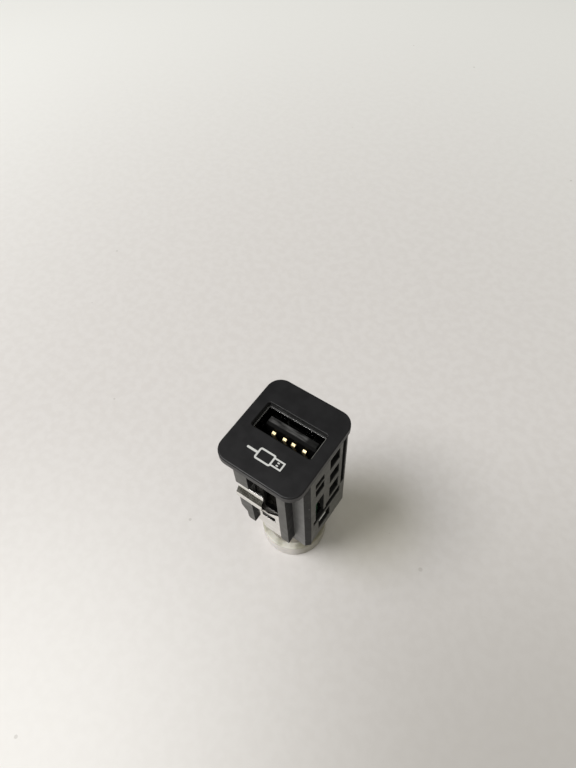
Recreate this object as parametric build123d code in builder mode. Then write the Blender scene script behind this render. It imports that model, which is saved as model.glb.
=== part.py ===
from build123d import *
import os

# A panel-mounted USB socket, in millimetres. It stands on the rim of its rear connector.
# The origin is under the middle of the face plate, on the plane of that rim.
# +X runs along the port's long side, +Y from the printed mark to the port, +Z out of the face.
# A size called a depth is measured down from the front of the face plate.

os.makedirs("parts", exist_ok=True)

# Face plate
face_x = 18.2
face_y = 20.3
face_thickness = 1.6
face_corner = 3.0
face_edge = 0.3

# Sleeve behind the face plate
sleeve_x = 16.6
sleeve_front = -5.1
sleeve_back = 9.2
sleeve_wall = 1.0
front_wall_depth = 35.2
side_wall_rise = 1.2
near_corner = 1.0
far_corner = 0.7

# Post and rib that stand out of the front wall, either side of its window
rib_front = -7.35
post_left = -7.7
post_right = -4.5
post_shank = -6.35
post_toe = -6.1
post_rise = 2.4
post_toe_rise = 0.9
post_shank_rise = 3.2
post_taper_rise = 5.4
rib_left = 2.55
rib_right = 4.6
rib_rise = 2.6
rib_toe = 0.5

# Windows: one in the front wall, and in each side wall two columns that a long slit joins below,
# and a tall narrow one beside the back corner
front_window_left = -2.9
front_window_top = 2.6
front_window_bottom = 26.0
near_column = (-2.4, 0.6)
near_column_depths = ((7.2, 9.2), (9.9, 12.8), (16.0, 24.8))
far_column = (2.6, 6.0)
far_column_depths = ((5.2, 9.3), (11.4, 15.3), (17.4, 22.0))
slot_column = (1.4, 6.8)
slot_depths = (23.2, 26.2)
slit_column = (-3.2, 6.8)
slit_depths = (24.4, 26.2)
corner_column = (7.0, 8.3)
corner_depths = (3.0, 23.2)
latch_column = (-1.3, 3.1)
latch_sill = 1.5
latch_window_height = 4.55

# Rigid hooks on the back wall, which hold the far side of the panel cut-out
hook_depth = 15.0
hook_reach = 0.8
hook_land = 0.8
hook_length = 5.0
hook_width = 2.2
hook_spacing = 9.0

# Port
port_y = 1.39
shell_x = 13.1
shell_y = 5.72
shell_sheet = 0.3
shell_bend = 0.5
shell_mouth_depth = 1.1
shell_length = 17.0
shell_clearance = 0.06
port_edge = 0.15
leg_width = 1.8
leg_length = 3.0

# Spring fingers cut out of the receptacle shell
finger_offset = 3.0
finger_width = 1.5
finger_slit = 0.3
finger_tip_depth = 2.4
finger_length = 6.0
finger_crest = 1.1
finger_rise = 0.35
finger_tip_rise = 0.05

# Insulator with the tongue
tongue_x = 11.1
tongue_y = 1.84
tongue_gap = 0.64
tongue_depth = 2.6
tongue_edge = 0.2
tongue_lead_in = 0.55
block_height = 5.0
block_lift = 0.4
block_clearance = 0.03

# Contacts
contact_offsets = (-3.5, -1.0, 1.0, 3.5)
contact_width = 0.75
contact_sheet = 0.2
contact_bend = 0.25
contact_slot_clearance = 0.05
contact_set_back = 1.6
contact_tip = 0.05
contact_crest_run = 0.3
contact_crest = 0.6
contact_lift_run = 2.6
tail_overlap = 3.0
solder_gap = 0.01

# Circuit board and what is soldered to it
board_thickness = 1.0
board_clearance = 0.05
board_top_gap = 0.6
choke_size = (3.2, 1.8, 2.5)
choke_place = (0.0, 5.1)
protector_size = (2.9, 1.1, 1.6)
protector_place = (0.0, 2.1)
fuse_size = (3.2, 0.7, 1.6)
fuse_place = (-3.9, 2.9)
chip_size = (1.6, 0.8, 0.8)
filter_places = ((3.6, 2.3), (3.6, 4.5))
bead_place = (-3.9, 5.7)
chip_edge = 0.07

# Rear connector: a wide collar, a round neck and a square root that fills the sleeve's end
collar_r = 7.5
collar_height = 4.2
collar_edge = 0.3
neck_r = 6.0
neck_length = 5.85
root_height = 2.9
root_clearance = 0.1
root_front = -3.4
socket_r = 6.4
socket_depth = 3.0
throat_r = 5.1
throat_floor = 4.55
key_width = 1.2
key_rise = 0.7
key_count = 3
key_angle = 30

# Shield, insulator and pins of the rear connector
tube_r = 2.9
tube_wall = 0.3
tube_set_back = 1.3
tube_clearance = 0.05
flange_x = 13.8
flange_front = -2.6
flange_back = 4.2
latch_width = 2.4
latch_front = -1.0
latch_knee = 1.0
latch_reach = 1.4
latch_clearance = 0.6
insulator_set_back = 0.4
insulator_rise = 0.95
insulator_gap = 0.7
pin_r = 0.25
pin_edge = 0.08
pin_pitch = 1.8
pin_clearance = 0.02
pin_set_back = 0.9
pin_overlap = 2.7

# Retaining clip, one strip of spring steel
clip_sheet = 0.3
clip_bend = 0.35
clip_plate_y = -6.25
clip_side_gap = 0.1
clip_lip_depth = 16.3
clip_lip_reach = 0.65
clip_neck_drop = 1.4
clip_neck_reach = 0.75
clip_crest_drop = 1.3
clip_crest_reach = 1.8
clip_band_drop = 1.4
clip_leg_drop = 0.2
clip_leg_foot = 0.6
clip_leg_gap = 0.3
clip_root_drop = 5.2
clip_shoulder_rise = 2.9
clip_side_rise = 2.8
clip_corner_rise = 1.8
clip_corner_left = -2.9
clip_slot_left = -2.8
clip_slot_right = 0.6
clip_slot_drop = 0.6
clip_slot_height = 2.1
clip_head_left = -7.45
clip_head_right = -1.2
clip_relief = 1.85
clip_relief_margin = 0.5
foot_left = -2.5
foot_right = 2.1
foot_gap = 0.15
foot_clearance = 0.3
foot_bend_room = 0.7
foot_hook_rise = 1.3
foot_hook_gap = 0.1


# Heights from the rim upwards: rear housing, clip's foot, sleeve, face
neck_top = collar_height + neck_length
root_top = neck_top + root_height
throat_top = root_top - throat_floor
tube_bottom = socket_depth + tube_set_back
flange_z = root_top + tube_wall / 2 + solder_gap
latch_window_bottom = root_top + latch_sill
latch_window_top = latch_window_bottom + latch_window_height
insulator_bottom = throat_top + insulator_set_back
insulator_top = root_top + insulator_rise
board_bottom = insulator_top + insulator_gap
foot_z = neck_top + foot_clearance + clip_sheet / 2
front_wall_bottom = foot_z + clip_sheet / 2 + foot_gap
side_wall_bottom = front_wall_bottom + side_wall_rise
post_bottom = front_wall_bottom + post_rise
rib_bottom = front_wall_bottom + rib_rise
height = front_wall_bottom + front_wall_depth


def level(depth):
    """Height of the plane that lies this far below the front of the face plate."""
    return height - depth


# Heights and planes that follow from the face plate downwards
under_face = level(face_thickness)
front_wall_inside = sleeve_front + sleeve_wall
sleeve_y = sleeve_back - sleeve_front
sleeve_mid = (sleeve_back + sleeve_front) / 2
shell_top = level(shell_mouth_depth)
shell_bottom = shell_top - shell_length
shell_inside_x = shell_x - 2 * shell_sheet
shell_inside_y = shell_y - 2 * shell_sheet
tongue_top = level(tongue_depth)
tongue_back = port_y + shell_inside_y / 2 - tongue_gap
tongue_front = tongue_back - tongue_y
contact_y = tongue_front - solder_gap - contact_sheet / 2
block_bottom = shell_bottom + block_lift
block_top = block_bottom + block_height
board_back = contact_y - contact_sheet / 2 - solder_gap
board_front = board_back - board_thickness
board_mid = (board_back + board_front) / 2
board_top = block_bottom - board_top_gap

# Bends of the clip, from its lip down to its plate
lip_z = level(clip_lip_depth)
neck_z = lip_z - clip_neck_drop
crest_z = neck_z - clip_crest_drop
band_z = crest_z - clip_band_drop
leg_z = band_z - clip_leg_drop
root_z = band_z - clip_root_drop

# Housing: face plate, windowed sleeve, post, rib and hooks in one moulding
with BuildPart() as housing:
    with BuildSketch(Plane.XY.offset(under_face)):
        RectangleRounded(face_x, face_y, face_corner)
    extrude(amount=face_thickness)
    fillet(housing.faces().sort_by(Axis.Z)[-1].edges(), face_edge)

    with BuildSketch(Plane.XY.offset(front_wall_bottom)) as sleeve_outline:
        with Locations((0, sleeve_mid)):
            Rectangle(sleeve_x, sleeve_y)
        chamfer(sleeve_outline.vertices().group_by(Axis.Y)[0], near_corner)
        fillet(sleeve_outline.vertices().group_by(Axis.Y)[-1], far_corner)
    extrude(amount=under_face - front_wall_bottom)

    # Post with a tapered toe at the left, plain rib at the right
    with BuildSketch(Plane.XZ.offset(-rib_front)):
        with BuildLine():
            Polyline(
                (post_left, under_face),
                (post_left, post_bottom + post_taper_rise),
                (post_shank, post_bottom + post_shank_rise),
                (post_shank, post_bottom + post_toe_rise),
                (post_toe, post_bottom),
                (post_right, post_bottom),
                (post_right, under_face),
                close=True,
            )
        make_face()
        with BuildLine():
            Polyline(
                (rib_left, under_face),
                (rib_left, rib_bottom + rib_toe),
                (rib_left + rib_toe, rib_bottom),
                (rib_right, rib_bottom),
                (rib_right, under_face),
                close=True,
            )
        make_face()
    extrude(amount=rib_front - front_wall_inside)

    # Relief in the post behind the clip's head
    with BuildSketch(Plane.XZ.offset(-rib_front)):
        with BuildLine():
            Polyline(
                (post_left, lip_z + clip_relief_margin),
                (post_right, lip_z + clip_relief_margin),
                (post_right, leg_z - clip_relief_margin),
                (post_left, leg_z - clip_relief_margin),
                close=True,
            )
        make_face()
    extrude(amount=-clip_relief, mode=Mode.SUBTRACT)

    # Hollow of the sleeve, open at the bottom
    with BuildSketch(Plane.XY.offset(front_wall_bottom)):
        with Locations((0, sleeve_mid)):
            Rectangle(sleeve_x - 2 * sleeve_wall, sleeve_y - 2 * sleeve_wall)
    extrude(amount=under_face - front_wall_bottom, mode=Mode.SUBTRACT)

    # The side and back walls end higher than the front wall
    with BuildSketch(Plane.XY.offset(front_wall_bottom)):
        with Locations((0, (front_wall_inside + sleeve_back) / 2)):
            Rectangle(sleeve_x, sleeve_back - front_wall_inside)
    extrude(amount=side_wall_bottom - front_wall_bottom, mode=Mode.SUBTRACT)

    # Windows through both side walls
    with BuildSketch(Plane.YZ):
        columns = [(near_column, depths) for depths in near_column_depths]
        columns += [(far_column, depths) for depths in far_column_depths]
        columns += [(slot_column, slot_depths), (slit_column, slit_depths)]
        columns += [(corner_column, corner_depths)]
        columns += [(latch_column, (height - latch_window_top, height - latch_window_bottom))]
        for (front, back), (top, bottom) in columns:
            with Locations(((front + back) / 2, level((top + bottom) / 2))):
                Rectangle(back - front, bottom - top)
    extrude(amount=sleeve_x / 2, both=True, mode=Mode.SUBTRACT)

    # Window in the front wall between post and rib
    with BuildSketch(Plane.XZ.offset(-sleeve_front)):
        middle = (front_window_left + rib_left) / 2
        with Locations((middle, level((front_window_top + front_window_bottom) / 2))):
            Rectangle(rib_left - front_window_left, front_window_bottom - front_window_top)
    extrude(amount=-sleeve_wall, mode=Mode.SUBTRACT)

    # Hooks on the back wall
    for side in (-1, 1):
        with BuildSketch(Plane.YZ.offset(side * hook_spacing / 2 - hook_width / 2)):
            with BuildLine():
                Polyline(
                    (sleeve_back, level(hook_depth)),
                    (sleeve_back + hook_reach, level(hook_depth)),
                    (sleeve_back + hook_reach, level(hook_depth + hook_land)),
                    (sleeve_back, level(hook_depth + hook_length)),
                    close=True,
                )
            make_face()
        extrude(amount=hook_width)

    # Port opening with a softened rim
    with BuildSketch(Plane.XY.offset(under_face)):
        with Locations((0, port_y)):
            RectangleRounded(
                shell_x + 2 * shell_clearance, shell_y + 2 * shell_clearance, shell_bend
            )
    extrude(amount=face_thickness, mode=Mode.SUBTRACT)
    rim = housing.faces().sort_by(Axis.Z)[-1].inner_wires()
    chamfer(rim.edges(), port_edge)
housing.part.label = "housing"
export_step(housing.part, "parts/housing.step")

# Receptacle shell: folded sheet with spring fingers on four sides and two board legs
finger_root = level(finger_tip_depth) - finger_length
with BuildPart() as receptacle_shell:
    with BuildSketch(Plane.XY.offset(shell_bottom)):
        with Locations((0, port_y)):
            RectangleRounded(shell_x, shell_y, shell_bend)
            RectangleRounded(
                shell_inside_x, shell_inside_y, shell_bend - shell_sheet, mode=Mode.SUBTRACT
            )
    extrude(amount=shell_length)

    # Slits around the fingers, cut through opposite walls at once
    slit_width = finger_width + 2 * finger_slit
    slit_middle = level(finger_tip_depth) - finger_length / 2 + finger_slit / 2
    with BuildSketch(Plane.XZ.offset(-port_y)):
        with Locations((-finger_offset, slit_middle), (finger_offset, slit_middle)):
            Rectangle(slit_width, finger_length + finger_slit)
    extrude(amount=shell_y, both=True, mode=Mode.SUBTRACT)
    with BuildSketch(Plane.YZ):
        with Locations((port_y, slit_middle)):
            Rectangle(slit_width, finger_length + finger_slit)
    extrude(amount=shell_x, both=True, mode=Mode.SUBTRACT)

    # Fingers, each bent inwards from its root and back out at its tip
    finger_profile = (
        (0, finger_root - finger_slit),
        (0, finger_root),
        (finger_rise, level(finger_tip_depth + finger_crest)),
        (finger_tip_rise, level(finger_tip_depth)),
    )
    long_wall = (shell_y - shell_sheet) / 2
    short_wall = (shell_x - shell_sheet) / 2
    for side in (-1, 1):
        for offset in (-finger_offset, finger_offset):
            with BuildSketch(Plane.YZ.offset(offset - finger_width / 2)):
                with BuildLine():
                    Polyline([(port_y + side * (long_wall - inwards), z) for inwards, z in finger_profile])
                trace(line_width=shell_sheet)
            extrude(amount=finger_width)
        with BuildSketch(Plane.XZ.offset(-port_y - finger_width / 2)):
            with BuildLine():
                Polyline([(side * (short_wall - inwards), z) for inwards, z in finger_profile])
            trace(line_width=shell_sheet)
        extrude(amount=finger_width)

    # Legs that straddle the board's edges
    with BuildSketch(Plane.XY.offset(shell_bottom)):
        with Locations((-short_wall, board_mid), (short_wall, board_mid)):
            Rectangle(shell_sheet, leg_width)
    extrude(amount=-leg_length)
receptacle_shell.part.label = "receptacle_shell"
export_step(receptacle_shell.part, "parts/receptacle_shell.step")

# Contact tongue: block that closes the shell's rear, with the tongue standing on it
with BuildPart() as contact_tongue:
    with BuildSketch(Plane.XY.offset(block_bottom)):
        with Locations((0, port_y)):
            RectangleRounded(
                shell_inside_x - 2 * block_clearance,
                shell_inside_y - 2 * block_clearance,
                shell_bend - shell_sheet,
            )
    extrude(amount=block_height)
    with BuildSketch(Plane.XY.offset(block_top)):
        with Locations((0, (tongue_front + tongue_back) / 2)):
            Rectangle(tongue_x, tongue_y)
    extrude(amount=tongue_top - block_top)
    tongue_end = contact_tongue.faces().sort_by(Axis.Z)[-1]
    chamfer(tongue_end.edges().sort_by(Axis.Y)[0], tongue_lead_in)
    tongue_end = contact_tongue.faces().sort_by(Axis.Z)[-1]
    chamfer(tongue_end.edges().sort_by(Axis.Y)[1:], tongue_edge)

    # Passages for the contacts through the block
    slot_front = contact_y - contact_sheet / 2 - contact_slot_clearance
    with BuildSketch(Plane.XY.offset(block_bottom)):
        for offset in contact_offsets:
            with Locations((offset, (slot_front + tongue_front) / 2)):
                Rectangle(contact_width + 2 * contact_slot_clearance, tongue_front - slot_front)
    extrude(amount=block_height, mode=Mode.SUBTRACT)
contact_tongue.part.label = "contact_tongue"
export_step(contact_tongue.part, "parts/contact_tongue.step")

# Contacts: strips along the tongue's front, with a raised crest near the tip
tip_z = tongue_top - contact_set_back
for number, offset in enumerate(contact_offsets, start=1):
    with BuildPart() as contact:
        with BuildSketch(Plane.YZ.offset(offset - contact_width / 2)):
            with BuildLine():
                FilletPolyline(
                    (contact_y, board_top - tail_overlap),
                    (contact_y, tip_z - contact_crest_run - contact_lift_run),
                    (contact_y - contact_crest, tip_z - contact_crest_run),
                    (contact_y - contact_tip, tip_z),
                    radius=contact_bend,
                )
            trace(line_width=contact_sheet)
        extrude(amount=contact_width)
    contact.part.label = f"contact_{number}"
    export_step(contact.part, f"parts/contact_{number}.step")

# Circuit board between the shell's legs
board_x = shell_inside_x - 2 * board_clearance
with BuildPart() as circuit_board:
    with BuildSketch(Plane.XZ.offset(-board_back)):
        with Locations((0, (board_top + board_bottom) / 2)):
            Rectangle(board_x, board_top - board_bottom)
    extrude(amount=board_thickness)
circuit_board.part.label = "circuit_board"
export_step(circuit_board.part, "parts/circuit_board.step")

# Chips on the board's front face, each placed from the middle of the board's top edge
board_chips = {
    "common_mode_choke": (choke_size, choke_place),
    "surge_protector": (protector_size, protector_place),
    "resettable_fuse": (fuse_size, fuse_place),
    "filter_capacitor_1": (chip_size, filter_places[0]),
    "filter_capacitor_2": (chip_size, filter_places[1]),
    "ferrite_bead": (chip_size, bead_place),
}
for name, ((chip_x, chip_y, chip_z), (across, down)) in board_chips.items():
    with BuildPart() as chip:
        with BuildSketch(Plane.XZ.offset(-board_front + solder_gap)):
            with Locations((across, board_top - down)):
                Rectangle(chip_x, chip_z)
        extrude(amount=chip_y)
        chamfer(chip.faces().sort_by(Axis.Y)[0].edges(), chip_edge)
    chip.part.label = name
    export_step(chip.part, f"parts/{name}.step")

# Rear housing: collar, neck and square root, with the mating socket in its underside
with BuildPart() as rear_housing:
    with BuildSketch():
        with Locations((0, board_mid)):
            Circle(collar_r)
    extrude(amount=collar_height)
    fillet(rear_housing.edges().filter_by(GeomType.CIRCLE), collar_edge)
    with BuildSketch(Plane.XY.offset(collar_height)):
        with Locations((0, board_mid)):
            Circle(neck_r)
    extrude(amount=neck_top - collar_height)
    root_back = sleeve_back - sleeve_wall - root_clearance
    with BuildSketch(Plane.XY.offset(neck_top)):
        with Locations((0, (root_front + root_back) / 2)):
            Rectangle(sleeve_x - 2 * sleeve_wall - 2 * root_clearance, root_back - root_front)
    extrude(amount=root_height)

    # Socket for the mating plug: wide mouth, narrower throat, then the hole for the shield
    for radius, depth in ((socket_r, socket_depth), (throat_r, throat_top)):
        with BuildSketch():
            with Locations((0, board_mid)):
                Circle(radius)
        extrude(amount=depth, mode=Mode.SUBTRACT)
    with BuildSketch():
        with Locations((0, board_mid)):
            Circle(tube_r + tube_clearance)
    extrude(amount=root_top, mode=Mode.SUBTRACT)

    # Coding ribs inside the throat
    with BuildSketch(Plane.XY.offset(socket_depth)):
        with Locations((0, board_mid)):
            with PolarLocations(throat_r, key_count, start_angle=key_angle):
                Rectangle(2 * key_rise, key_width)
    extrude(amount=throat_top - socket_depth)
rear_housing.part.label = "rear_housing"
export_step(rear_housing.part, "parts/rear_housing.step")

# Rear shield: tube, flange on the housing's root, and two latches that spring into the sleeve
with BuildPart() as rear_shield:
    with BuildSketch(Plane.XY.offset(tube_bottom)):
        with Locations((0, board_mid)):
            Circle(tube_r)
    extrude(amount=flange_z - tube_bottom)
    with BuildSketch(Plane.XY.offset(flange_z - tube_wall / 2)):
        with Locations((0, (flange_front + flange_back) / 2)):
            Rectangle(flange_x, flange_back - flange_front)
    extrude(amount=tube_wall)
    with BuildSketch(Plane.XY.offset(tube_bottom)):
        with Locations((0, board_mid)):
            Circle(tube_r - tube_wall)
    extrude(amount=height, mode=Mode.SUBTRACT)
    latch_wall = (flange_x - tube_wall) / 2
    for side in (-1, 1):
        with BuildSketch(Plane.XZ.offset(-latch_front - latch_width)):
            with BuildLine():
                Polyline(
                    (side * latch_wall, flange_z),
                    (side * latch_wall, flange_z + latch_knee),
                    (side * (latch_wall + latch_reach), latch_window_top - latch_clearance),
                )
            trace(line_width=tube_wall)
        extrude(amount=latch_width)
rear_shield.part.label = "rear_shield"
export_step(rear_shield.part, "parts/rear_shield.step")

# Rear insulator: plug that carries the four pins inside the tube
insulator_r = tube_r - tube_wall - tube_clearance
pin_y = board_thickness / 2 + solder_gap + pin_r
with BuildPart() as rear_insulator:
    with BuildSketch(Plane.XY.offset(insulator_bottom)):
        with Locations((0, board_mid)):
            Circle(insulator_r)
            with GridLocations(pin_pitch, 2 * pin_y, 2, 2):
                Circle(pin_r + pin_clearance, mode=Mode.SUBTRACT)
    extrude(amount=insulator_top - insulator_bottom)
rear_insulator.part.label = "rear_insulator"
export_step(rear_insulator.part, "parts/rear_insulator.step")

# Rear pins: two on each face of the board
pin_bottom = tube_bottom + pin_set_back
pin_places = [(x, y) for y in (-pin_y, pin_y) for x in (-pin_pitch / 2, pin_pitch / 2)]
for number, (x, y) in enumerate(pin_places, start=1):
    with BuildPart() as rear_pin:
        with BuildSketch(Plane.XY.offset(pin_bottom)):
            with Locations((x, board_mid + y)):
                Circle(pin_r)
        extrude(amount=board_bottom + pin_overlap - pin_bottom)
        chamfer(rear_pin.faces().sort_by(Axis.Z)[0].edges(), pin_edge)
    rear_pin.part.label = f"rear_pin_{number}"
    export_step(rear_pin.part, f"parts/rear_pin_{number}.step")

# Retaining clip: head and leg first, then the slotted plate and its hooked foot
plate_left = post_right + clip_side_gap
plate_right = rib_left - clip_side_gap
leg_left = post_right + clip_leg_gap
hook_y = front_wall_inside + foot_hook_gap + clip_sheet / 2
with BuildPart() as retaining_clip:
    with BuildSketch(Plane.YZ.offset(clip_head_left)):
        with BuildLine():
            FilletPolyline(
                (clip_plate_y, root_z - clip_bend),
                (clip_plate_y, root_z),
                (clip_plate_y - clip_crest_reach, band_z),
                (clip_plate_y - clip_crest_reach, crest_z),
                (clip_plate_y - clip_neck_reach, neck_z),
                (clip_plate_y - clip_lip_reach, lip_z),
                radius=clip_bend,
            )
        trace(line_width=clip_sheet)
    extrude(amount=clip_head_right - clip_head_left)

    # The leg below the head is narrower, so that it passes beside the post
    with BuildSketch(Plane.XZ.offset(-clip_plate_y - clip_sheet)):
        with BuildLine():
            Polyline(
                (clip_head_left, root_z - clip_leg_foot),
                (leg_left, root_z - clip_leg_foot),
                (leg_left, leg_z),
                (clip_head_left, leg_z),
                close=True,
            )
        make_face()
    extrude(amount=2 * clip_crest_reach, both=True, mode=Mode.SUBTRACT)

    with BuildSketch(Plane.XZ.offset(-clip_plate_y + clip_sheet / 2)):
        with BuildLine():
            Polyline(
                (plate_left, root_z),
                (plate_left, front_wall_bottom + clip_side_rise),
                (clip_corner_left, front_wall_bottom + clip_corner_rise),
                (clip_corner_left, foot_z + foot_bend_room),
                (plate_right, foot_z + foot_bend_room),
                (plate_right, root_z + clip_shoulder_rise),
                (clip_head_right, root_z),
                close=True,
            )
        make_face()
        with Locations(
            (
                (clip_slot_left + clip_slot_right) / 2,
                root_z - clip_slot_drop - clip_slot_height / 2,
            )
        ):
            Rectangle(
                clip_slot_right - clip_slot_left,
                clip_slot_height,
                mode=Mode.SUBTRACT,
            )
    extrude(amount=-clip_sheet)

    with BuildSketch(Plane.YZ.offset(foot_left)):
        with BuildLine():
            FilletPolyline(
                (hook_y, foot_z + foot_hook_rise),
                (hook_y, foot_z),
                (clip_plate_y, foot_z),
                (clip_plate_y, foot_z + foot_bend_room + clip_bend),
                radius=clip_bend,
            )
        trace(line_width=clip_sheet)
    extrude(amount=foot_right - foot_left)
retaining_clip.part.label = "retaining_clip"
export_step(retaining_clip.part, "parts/retaining_clip.step")
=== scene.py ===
# %% [markdown]
# # A USB socket module, from CAD solids to a finished look
# The object is a small panel-mount socket. A black moulding carries a metal port at its face, a spring-
# steel clip holds it in the panel, and a cream connector closes its rear end. The solids come from a CAD
# frame with every size in place. This lesson gives them their surfaces, adds the solder and the metal
# chip ends that the CAD leaves out, and then lights and frames the whole.

import math

import bpy
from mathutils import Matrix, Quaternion, Vector


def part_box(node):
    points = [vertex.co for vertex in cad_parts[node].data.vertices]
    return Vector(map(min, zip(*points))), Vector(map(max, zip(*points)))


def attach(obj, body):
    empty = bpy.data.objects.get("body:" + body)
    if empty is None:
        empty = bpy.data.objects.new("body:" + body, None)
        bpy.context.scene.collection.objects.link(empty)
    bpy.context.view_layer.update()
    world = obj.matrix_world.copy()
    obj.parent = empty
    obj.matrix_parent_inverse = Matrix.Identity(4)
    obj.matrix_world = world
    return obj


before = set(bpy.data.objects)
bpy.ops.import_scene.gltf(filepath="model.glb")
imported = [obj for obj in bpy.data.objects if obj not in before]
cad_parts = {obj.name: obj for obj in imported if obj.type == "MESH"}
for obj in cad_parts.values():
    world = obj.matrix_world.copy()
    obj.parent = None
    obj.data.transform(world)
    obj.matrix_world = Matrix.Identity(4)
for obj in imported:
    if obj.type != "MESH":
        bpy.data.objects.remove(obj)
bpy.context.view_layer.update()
MM = 0.001

# %% [markdown]
# ## Camera
# A phone held close to a small object sees it with strong perspective, so the lens is short and the
# camera is only a hand's width away. The camera looks past the object at a point on the table, and leans
# by a few degrees. A track quaternion points the camera, and one more turn about its own axis gives the
# lean.

# %% Camera
CAMERA_PLACE = Vector((33.49, -40.55, 139.74)) * MM
CAMERA_AIM = Vector((-25.3, 34.0, 0.0)) * MM
CAMERA_LEAN = math.radians(-3.87)
LENS_MM = 27.79

camera_data = bpy.data.cameras.new("camera")
camera_data.lens = LENS_MM
camera_data.sensor_width = 36.0
camera_data.clip_start = 0.005
camera = bpy.data.objects.new("camera", camera_data)
camera.location = CAMERA_PLACE
camera.rotation_mode = "QUATERNION"
aim = (CAMERA_AIM - CAMERA_PLACE).to_track_quat("-Z", "Y")
camera.rotation_quaternion = aim @ Quaternion((0, 0, 1), CAMERA_LEAN)
bpy.context.scene.collection.objects.link(camera)
bpy.context.scene.camera = camera
print("camera distance in mm:", round((CAMERA_AIM - CAMERA_PLACE).length / MM, 1))

# %% [markdown]
# ## Building materials by name
# Node trees written by hand get long, and a few small helpers keep them readable. One adds a node and
# sets its inputs by name. Others stand for the sums that masks need. The last ones start a group or a
# material and link the finished colour, normal and roughness to its one Principled shader.

# %% Helpers for node trees
def add_node(tree, kind, settings=None, **inputs):
    """Adds a node, sets its properties, and links or fills its inputs by name or index."""
    node = tree.nodes.new(kind)
    for name, value in (settings or {}).items():
        setattr(node, name, value)
    for name, value in inputs.items():
        key = int(name[3:]) if name.startswith("at_") else name.replace("_", " ")
        if isinstance(value, bpy.types.NodeSocket):
            tree.links.new(value, node.inputs[key])
        else:
            node.inputs[key].default_value = value
    return node


def do_math(tree, operation, first, second=0.0, clamp=False):
    """One Math node, as a value that the next node can take."""
    settings = {"operation": operation, "use_clamp": clamp}
    return add_node(tree, "ShaderNodeMath", settings, at_0=first, at_1=second).outputs[0]


def product(tree, first, *others):
    """Masks multiplied together."""
    result = first
    for other in others:
        result = do_math(tree, "MULTIPLY", result, other)
    return result


def invert(tree, mask):
    return do_math(tree, "SUBTRACT", 1.0, mask)


def ramp(tree, value, start, end, low=0.0, high=1.0):
    """Smooth step from low to high while the value goes from start to end."""
    settings = {"interpolation_type": "SMOOTHSTEP"}
    node = add_node(
        tree, "ShaderNodeMapRange", settings,
        Value=value, From_Min=start, From_Max=end, To_Min=low, To_Max=high,
    )
    return node.outputs["Result"]


def blend_colour(tree, amount, first, second):
    """Mix of two colours by a mask."""
    node = add_node(tree, "ShaderNodeMix", {"data_type": "RGBA"}, Factor=amount)
    for name, value in (("A", first), ("B", second)):
        socket = [item for item in node.inputs if item.name == name and item.type == "RGBA"][0]
        if isinstance(value, bpy.types.NodeSocket):
            tree.links.new(value, socket)
        else:
            socket.default_value = value
    return [item for item in node.outputs if item.type == "RGBA"][0]


def lay_over(tree, tone, layers):
    """Lays each colour over the tone where its mask is 1, the last one on top."""
    for mask, colour in layers:
        tone = blend_colour(tree, mask, tone, colour)
    return tone


def axis_of(tree, place, axis):
    """One coordinate of a point."""
    return add_node(tree, "ShaderNodeSeparateXYZ", Vector=place).outputs[axis]


def between(tree, value, low, high, soft):
    """Mask that is 1 from low to high and fades out over the soft width on both sides."""
    return product(tree, ramp(tree, value, low - soft, low), ramp(tree, value, high, high + soft, 1.0, 0.0))


def start_group(name, inputs, outputs):
    """New shader node group with named sockets. Returns the tree and its two end nodes."""
    tree = bpy.data.node_groups.new(name, "ShaderNodeTree")
    for label, kind, value in inputs:
        socket = tree.interface.new_socket(name=label, in_out="INPUT", socket_type=kind)
        if value is not None:
            socket.default_value = value
    for label, kind in outputs:
        tree.interface.new_socket(name=label, in_out="OUTPUT", socket_type=kind)
    return tree, tree.nodes.new("NodeGroupInput"), tree.nodes.new("NodeGroupOutput")


def use_group(tree, group, **inputs):
    """Places a node group in a material."""
    node = tree.nodes.new("ShaderNodeGroup")
    node.node_tree = group
    for name, value in inputs.items():
        socket = node.inputs[name.replace("_", " ")]
        if isinstance(value, bpy.types.NodeSocket):
            tree.links.new(value, socket)
        else:
            socket.default_value = value
    return node


def start_material(name, colour, roughness, metallic=0.0):
    """New material with one Principled shader, and the object's own coordinates."""
    material = bpy.data.materials.new(name)
    material.use_nodes = True
    tree = material.node_tree
    shader = tree.nodes["Principled BSDF"]
    shader.inputs["Base Color"].default_value = colour
    shader.inputs["Roughness"].default_value = roughness
    shader.inputs["Metallic"].default_value = metallic
    place = tree.nodes.new("ShaderNodeTexCoord").outputs["Object"]
    return material, tree, shader, place


def finish_material(material, tone, normal, roughness=None):
    """Links what was worked out to the material's shader."""
    tree = material.node_tree
    inputs = tree.nodes["Principled BSDF"].inputs
    tree.links.new(tone, inputs["Base Color"])
    tree.links.new(normal, inputs["Normal"])
    if roughness:
        tree.links.new(roughness, inputs["Roughness"])
    return material


def grey(level):
    return (level, level, level, 1.0)


FLOAT, VECTOR, COLOUR = "NodeSocketFloat", "NodeSocketVector", "NodeSocketColor"

# %% [markdown]
# ## Soft edges
# No moulded or stamped edge is truly sharp, and the thin bright line along an edge is what tells the eye
# the size of a thing. Rounding every edge of a CAD solid would need heavy meshes. The Bevel node rounds
# them in the shading alone: it looks at the faces nearby and returns a normal that turns smoothly across
# the edge. Where that normal differs from the flat one there is an edge, and that gives a wear mask as
# well.

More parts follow.
